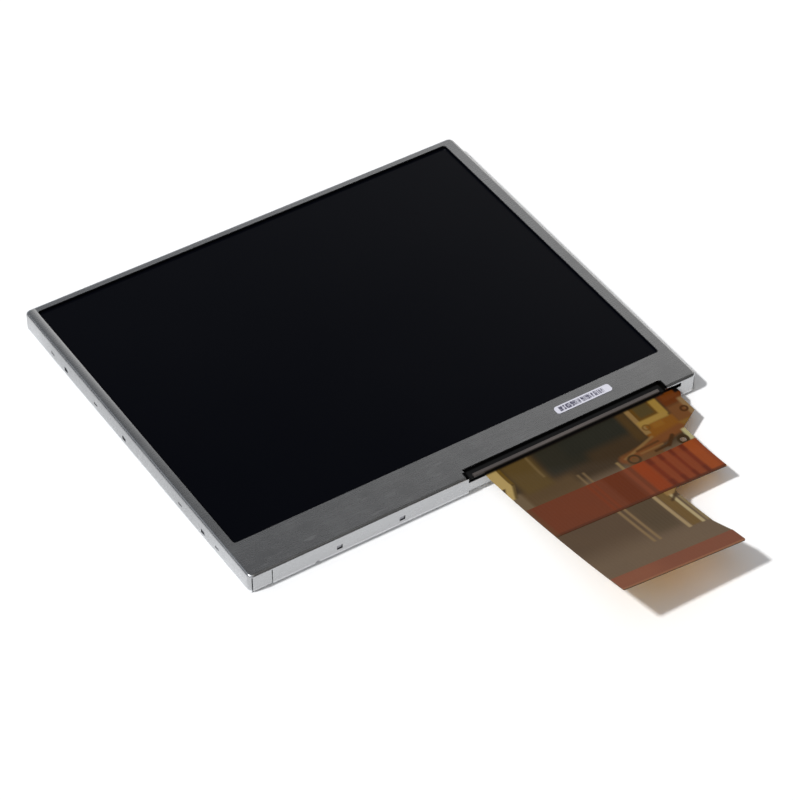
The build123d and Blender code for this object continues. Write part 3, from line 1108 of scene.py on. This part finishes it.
@dataclass
class FlexDress:
    """The tones of the flexible circuit, in plan coordinates.

    Marks at the root run on to inner, under the bezel. Tail_run is where the tail's clear lines
    start and end in Y, and band_run covers the middle band.
    """

    amber: Colour = srgb(164, 139, 84)
    line: Colour = srgb(118, 95, 64)
    inner: float = -25.0
    tail_run: tuple[float, float] = (-50.5, -43.0)
    band_run: tuple[float, float] = (-45.0, -36.0)

    def sheet(self) -> PrintedFilm:
        """The sheet's face: from the dark root to the grey-brown tail with its clear lines."""
        marks = (*self.ground(), *self.right_land_and_root_shade(), *self.slant(), *self.tail_lines())
        return PrintedFilm("flex_face", srgb(97, 79, 60), marks, 0.36)

    def ground(self) -> tuple[Mark, ...]:
        """The broad tones, and the amber corner at the left of the root."""
        inner = self.inner
        return (
            Patch((-1.0, 19.0), (-49.0, -40.0), srgb(80, 62, 44), 5.0),
            Patch((10.9, 14.5), (-49.5, -40.0), srgb(72, 58, 38), 1.6, 0.7),
            Patch((0.0, 30.0), (-36.0, inner), srgb(54, 40, 22), 2.4),
            Patch((-1.0, 9.6), (-38.0, -33.6), srgb(80, 60, 34), 1.8, 0.9),
            Patch((7.4, 13.0), (-32.9, inner), srgb(36, 33, 22), 1.6),
            Patch((11.0, 20.8), (-31.6, inner), srgb(32, 31, 22), 1.8),
            Patch((2.7, 6.9), (-34.2, inner), srgb(80, 61, 26), 1.2),
            Patch((6.25, 6.6), (-32.4, inner), srgb(104, 84, 50), 0.3, 0.7),
            Patch((0.4, 2.1), (-37.0, -33.4), srgb(102, 85, 62), 0.7, 0.8),
            Patch((19.8, 21.1), (-33.4, inner), srgb(66, 47, 19), 1.0),
            Patch((0.4, 2.15), (-31.6, inner), self.amber, 0.3),
            Stroke((0.9, -33.4), (1.85, -31.5), 1.15, self.amber, 0.4),
            Patch((2.15, 2.6), (-31.6, inner), srgb(92, 68, 16), 0.25),
            Stroke((2.4, -31.5), (1.3, -33.8), 0.4, srgb(66, 47, 14), 0.35, 0.8),
        )

    def right_land_and_root_shade(self) -> tuple[Mark, ...]:
        """The pads and clear areas at the right of the root, and the shade under the bezel."""
        inner = self.inner
        return (
            Patch((21.3, 26.3), (-34.4, -31.5), srgb(114, 69, 14), 0.6),
            Patch((21.2, 22.0), (-33.0, inner), srgb(126, 98, 56), 0.35),
            Patch((21.9, 24.9), (-31.0, inner), srgb(84, 56, 10), 0.3),
            Patch((22.4, 24.5), (-30.2, inner), srgb(70, 56, 26), 0.5),
            Patch((24.8, 25.9), (-31.2, inner), srgb(140, 110, 46), 0.4),
            Patch((21.4, 25.7), (-31.6, -30.6), srgb(140, 110, 50), 0.45),
            Patch((22.8, 24.4), (-32.6, -31.7), srgb(122, 80, 22), 0.5, 0.8),
            Patch((26.15, 29.6), (-30.3, inner), srgb(88, 40, 2), 0.7),
            Patch((26.6, 28.7), (-29.3, inner), srgb(98, 48, 10), 0.5, 0.9),
            # Painted shade on the root, where the bezel and the notch's right end shade it.
            Patch((28.7, 30.0), (-28.7, inner), srgb(14, 10, 8), 0.35),
            Patch((0.0, 27.4), (-28.2, inner), srgb(20, 14, 8), 0.4, 0.9),
            Patch((0.0, 30.0), (-28.05, inner), srgb(10, 8, 7), 0.25),
            Patch((26.1, 29.6), (-33.4, -30.3), srgb(100, 61, 28), 0.8),
            Patch((28.25, 29.4), (-33.0, -29.6), srgb(128, 102, 66), 0.5, 0.85),
            Patch((26.0, 28.0), (-34.6, -33.2), srgb(120, 84, 30), 0.5, 0.8),
            Ring((22.0, -31.9), 0.45, 0.25, srgb(96, 64, 18), 0.2, 0.8),
        )

    def slant(self) -> tuple[Mark, ...]:
        """The slanted conductors, pads and rings along the middle band."""
        return (
            Patch((16.2, 21.5), (-36.8, -34.4), srgb(92, 62, 32), 0.7),
            Stroke((16.4, -35.2), (25.6, -34.1), 1.4, srgb(104, 60, 26), 0.8),
            Stroke((16.6, -35.1), (21.6, -33.6), 0.4, srgb(122, 92, 52), 0.35, 0.8),
            Stroke((18.6, -34.7), (21.8, -34.6), 0.35, srgb(72, 42, 14), 0.3, 0.85),
            Stroke((18.8, -35.3), (22.0, -35.3), 0.3, srgb(120, 86, 46), 0.3, 0.7),
            Ring((17.45, -35.75), 0.75, 0.35, srgb(60, 40, 14), 0.3),
            Ring((17.45, -35.75), 0.0, 0.7, srgb(92, 62, 28)),
            Stroke((20.6, -35.9), (22.6, -35.8), 0.4, srgb(62, 36, 8), 0.3),
            Stroke((22.6, -35.9), (23.9, -34.7), 0.55, srgb(60, 34, 6), 0.35),
            Patch((25.4, 26.4), (-36.6, -34.4), srgb(166, 156, 112), 0.45, 0.95),
            Ring(FlexCircuit.hole, 0.62, 0.38, srgb(50, 34, 12), 0.25),
            Ring((28.0, -31.6), 0.42, 0.32, srgb(66, 36, 6), 0.25),
        )

    def tail_lines(self) -> tuple[Mark, ...]:
        """The clear lines along the tail, and their ends past the middle band."""
        run = self.tail_run
        return (
            Patch((15.25, 16.65), (-50.4, -43.0), srgb(98, 74, 36), 0.4),
            Patch((9.5, 9.88), run, self.line, 0.35),
            Patch((10.35, 10.73), run, self.line, 0.35),
            Patch((14.65, 15.15), run, srgb(146, 124, 88), 0.3),
            Patch((16.65, 17.1), (-50.5, -43.6), srgb(160, 143, 104), 0.3),
            Patch((17.4, 18.6), (-50.5, -44.6), srgb(128, 110, 76), 0.4, 0.8),
            Patch((9.75, 10.05), (-36.6, -34.3), self.line, 0.35, 0.7),
            Patch((10.55, 10.85), (-36.6, -34.3), self.line, 0.35, 0.7),
            Patch((15.05, 15.45), (-36.8, -35.0), srgb(128, 104, 66), 0.35, 0.9),
            Patch((16.4, 18.4), (-43.9, -42.9), srgb(140, 108, 58), 0.4, 0.8),
            Stroke((16.4, -44.9), (18.4, -43.3), 0.45, srgb(62, 42, 16), 0.35, 0.9),
        )

    def underside(self) -> PrintedFilm:
        """The sheet's underside: golden film with the contact land's darker end."""
        marks = (
            Patch((0.0, 19.0), (-57.0, -53.2), srgb(222, 152, 10), 0.4),
            Patch((-4.0, 6.5), (-57.0, self.inner), srgb(170, 152, 116), 4.0),
        )
        return PrintedFilm("flex_underside", srgb(238, 172, 8), marks, 0.3, 0.2)

    def middle(self) -> PrintedFilm:
        """The red-brown band, with the conductors below it as stripes on its right side.

        Returns:
            The band's finish.
        """
        run = self.band_run
        line = srgb(107, 46, 18)
        stripes = [Patch(x, run, srgb(96, 28, 2), 0.45, 0.75) for x in
                   ((18.3, 19.0), (20.05, 20.6), (21.75, 22.25), (23.35, 23.95))]
        ends = [Patch(x, y, srgb(72, 22, 4), 0.6, 0.45) for x in
                ((18.2, 19.1), (20.0, 20.7), (21.7, 22.3), (23.3, 24.0)) for y in
                ((-37.9, -35.0), (-44.0, -41.4))]
        marks = (
            Patch((11.8, 14.5), run, srgb(92, 38, 8), 0.8),
            Patch((9.4, 9.85), run, line, 0.4, 0.9),
            Patch((10.25, 10.65), run, line, 0.4, 0.9),
            Patch((14.95, 15.55), run, srgb(112, 54, 28), 0.4),
            Patch((16.2, 26.5), run, srgb(118, 53, 22), 0.5),
            Patch((16.3, 18.1), run, srgb(126, 50, 12), 0.6),
            Patch((24.0, 26.5), run, srgb(136, 62, 20), 0.5),
            Patch((25.5, 26.5), run, srgb(124, 56, 24), 0.5, 0.8),
            *stripes,
            *ends,
            Patch((0.0, 27.0), (-43.6, -42.65), srgb(74, 36, 16), 0.35, 0.8),
            Patch((0.0, 1.3), (-43.6, -36.0), srgb(90, 60, 36), 0.6, 0.6),
        )
        return PrintedFilm("middle_band_face", srgb(99, 47, 23), marks, 0.42, 0.22)

    def end(self) -> PrintedFilm:
        """The red-brown stiffener at the tail's end, lighter to the left and along its edge."""
        marks = (
            Patch((-2.0, 7.0), (-57.0, -53.0), srgb(122, 73, 51), 5.0),
            Patch((-1.0, 20.0), (-57.0, -56.15), srgb(136, 92, 64), 0.25, 0.9),
        )
        return PrintedFilm("end_band_face", srgb(114, 66, 46), marks, 0.42, 0.22)


@dataclass
class ModuleDress:
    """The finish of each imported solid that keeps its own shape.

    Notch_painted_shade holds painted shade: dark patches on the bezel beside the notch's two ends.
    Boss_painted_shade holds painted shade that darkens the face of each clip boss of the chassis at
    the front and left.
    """

    # Painted shade: dark patches on the bezel's steel beside the notch's two ends.
    notch_painted_shade: tuple[Patch, ...] = (
        Patch((27.72, 28.05), (-28.4, -26.5), srgb(10, 10, 11), 0.15),
        Patch((-2.05, -1.6), (-28.4, -26.9), srgb(10, 10, 11), 0.15),
    )
    # Painted shade: a darker tone on the face of each clip boss of the chassis.
    boss_painted_shade: tuple[Patch, ...] = (
        Patch((-40.0, 40.0), (-29.0, -27.78), srgb(146, 146, 151), 0.02),
        Patch((-33.0, -32.48), (-30.0, 30.0), srgb(146, 146, 151), 0.02),
    )

    def finishes(self) -> dict[str, Finish]:
        """Chooses the finishes. Nodes of one material share one.

        Returns:
            The finish by node name.
        """
        film = OpticalFilm()
        glass = ClearPanel()
        tape = BlackTape()
        face = PanelFace()
        seal = Resin()
        return {
            "front_bezel": SheetSteel(arch=Arch(), marks=self.notch_painted_shade),
            "rear_chassis": SheetSteel("chassis_steel", 0.5, 0.34, Rolling.ALONG_Y, None, self.boss_painted_shade, 0.6),
            "mould_frame": Moulding(),
            "reflector_sheet": film,
            "light_guide": ClearPanel("acrylic", srgb(226, 230, 232), 1.49, True),
            "lower_diffuser": film,
            "lower_prism_sheet": film,
            "upper_prism_sheet": film,
            "white_leds": Resin("lamp_body", srgb(236, 236, 230), srgb(214, 212, 204), 0.4),
            "led_resin": Resin("phosphor", srgb(232, 214, 90), srgb(212, 186, 60), 0.25),
            "led_strip_flex": PrintedFilm("lamp_flex_film", srgb(178, 122, 50), (), 0.3),
            "rim_tape": tape,
            "lower_polarizer": face,
            "array_glass": glass,
            "cell_seal": seal,
            "liquid_crystal": glass,
            "colour_filter_glass": glass,
            "upper_polarizer": face,
            "front_gasket": tape,
            "driver_chip": Silicon(),
            "flex_bond_film": seal,
            "contact_fingers": PlatedGold(),
            "exit_lip_strip": LipFilm(),
            "serial_label": LabelPaper(),
        }

    def apply(self) -> None:
        """Puts each finish on its node."""
        for name, finish in self.finishes().items():
            wear(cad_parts[name], finish)
            LOG.info("dressed %s in %s", name, finish.name)


def wear(piece: bpy.types.Object, *finishes: Finish) -> None:
    """Gives an object its finishes.

    Args:
        piece: The object.
        finishes: One finish for each material slot.
    """
    piece.data.materials.clear()
    for finish in finishes:
        piece.data.materials.append(finish.material())


class Ray(Enum):
    """The kinds of ray that see the floor as plain white. The sky is white to the camera alone."""

    CAMERA = "Is Camera Ray"
    GLOSSY = "Is Glossy Ray"
    TRANSMISSION = "Is Transmission Ray"


@dataclass
class Studio:
    """Camera, sun, sky and floor.

    Mirrored is the way to the wall that the panel shows the camera, and ceiling the way to the
    brightest part of the room. A pair named reach, top or split is where a glow starts and where
    it is full: by the cosine from its middle, by height, or by the way to the camera's right.
    """

    sensor: float = 36.0
    clip_start: float = 0.01
    clip_end: float = 20.0
    lens: float = 149.43
    eye: tuple[float, float, float] = (-0.164239, -0.263758, 0.285704)
    ahead: tuple[float, float, float] = (0.39434531, 0.61132675, -0.68612782)
    right: tuple[float, float, float] = (0.840415542, -0.541942516, 0.000160)
    sun_travel: tuple[float, float, float] = (0.75, -0.095, -1.0)
    sun_strength: float = 2.6
    sun_angle: float = math.radians(5)
    mirrored: tuple[float, float, float] = (0.39, 0.61, 0.69)
    ceiling: tuple[float, float, float] = (-0.6, -0.2, 0.77)
    room_glow: float = 0.075
    ceiling_glow: float = 0.72
    ceiling_reach: tuple[float, float] = (0.4, 1.0)
    wall_glow: float = 0.5
    wall_gain: float = 0.75
    wall_reach: tuple[float, float] = (0.5, 0.95)
    wall_top: tuple[float, float] = (0.71, 0.53)
    wall_split: tuple[float, float] = (-0.05, 0.12)
    tint_split: tuple[float, float] = (-0.25, 0.2)
    floor_size: float = 6.0
    floor_tone: float = 0.8

    def build(self) -> None:
        """Sets the stage."""
        bpy.context.scene.view_settings.view_transform = "Standard"
        self.camera()
        self.sun()
        self.sky()
        self.floor()

    def camera(self) -> None:
        """Puts the camera where the photograph was taken from."""
        data = bpy.data.cameras.new("camera")
        data.lens = self.lens
        data.sensor_width = self.sensor
        data.sensor_fit = "AUTO"
        data.clip_start = self.clip_start
        data.clip_end = self.clip_end
        camera = new_object("camera", data)
        ahead = Vector(self.ahead).normalized()
        right = Vector(self.right).normalized()
        up = right.cross(ahead)
        turn = Matrix((right, up, -ahead)).transposed().to_4x4()
        camera.matrix_world = Matrix.Translation(self.eye) @ turn
        bpy.context.scene.camera = camera

    def sun(self) -> None:
        """The soft box as a sun with a wide disc."""
        data = bpy.data.lights.new("soft_box", "SUN")
        data.energy = self.sun_strength
        data.angle = self.sun_angle
        lamp = new_object("soft_box", data)
        lamp.rotation_mode = "QUATERNION"
        lamp.rotation_quaternion = Vector(self.sun_travel).to_track_quat("-Z", "Y")

    def sky(self) -> None:
        """The room: a soft ceiling light, dim walls, and the wall that the panel mirrors."""
        world = bpy.data.worlds.new("room")
        bpy.context.scene.world = world
        world.use_nodes = True
        bench = Bench(world.node_tree)
        way = bench.node("TexCoord").outputs["Generated"]
        height = Signal(bench, bench.node("SeparateXYZ", None, {0: way}).outputs[2])
        side = Signal(bench, bench.vector("DOT_PRODUCT", way, self.right).outputs[1])
        toward = Signal(bench, bench.vector("DOT_PRODUCT", way, self.mirrored).outputs[1])
        top = Signal(bench, bench.vector("DOT_PRODUCT", way, self.ceiling).outputs[1])
        wall = toward.rise(*self.wall_reach) * height.rise(*self.wall_top)
        wall = wall * (self.wall_glow + self.wall_gain * side.rise(*self.wall_split))
        glow = self.room_glow + wall + self.ceiling_glow * top.rise(*self.ceiling_reach)
        tint = bench.mix(srgb(240, 246, 255), srgb(255, 252, 248), side.rise(*self.tint_split))
        room = bench.node("Background", None, {0: tint, 1: glow})
        white = bench.node("Background", None, {0: WHITE, 1: 1.0})
        seen = bench.node("LightPath").outputs[Ray.CAMERA.value]
        both = bench.node("MixShader", None, {0: seen, 1: room.outputs[0], 2: white.outputs[0]})
        bench.node("OutputWorld", None, {"Surface": both.outputs[0]})

    def floor(self) -> None:
        """A pale table that reads as white to the eye and keeps its shadows."""
        half = self.floor_size / 2
        corners = [(-half, -half, 0), (half, -half, 0), (half, half, 0), (-half, half, 0)]
        mesh = bpy.data.meshes.new("table_top")
        mesh.from_pydata(corners, [], [(0, 1, 2, 3)])
        table = new_object("table_top", mesh)
        material = bpy.data.materials.new("table_white")
        material.use_nodes = True
        bench = Bench(material.node_tree)
        path = bench.node("LightPath")
        seen = Signal(bench, path.outputs[Ray.CAMERA.value])
        for ray in (Ray.GLOSSY, Ray.TRANSMISSION):
            seen = seen | Signal(bench, path.outputs[ray.value])
        tone = bench.mix((*(self.floor_tone,) * 3, 1.0), WHITE, seen)
        matt = bench.node("BsdfDiffuse", None, {0: tone})
        bench.node("OutputMaterial", None, {"Surface": matt.outputs[0]})
        mesh.materials.append(material)


def main() -> None:
    """Builds the pieces in order and reports each one."""
    logging.basicConfig(level=logging.INFO, format="%(message)s")
    Studio().build()
    ModuleDress().apply()
    dress = FlexDress()
    sheet, middle, end = FlexCircuit().build()
    underside = dress.underside()
    wear(sheet, dress.sheet(), underside)
    wear(middle, dress.middle(), underside)
    wear(end, dress.end(), underside)
    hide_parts("flex_base_film", "flex_copper", "flex_cover_film")
    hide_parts("middle_strip")
    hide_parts("tail_stiffener")
    for piece, slot in ((sheet, "amber_film"), (middle, "brown_strip"), (end, "brown_strip")):
        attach(piece, "root")
        LOG.info("built %s with %d faces", piece.name, len(piece.data.polygons))


if __name__ == "__main__":
    main()
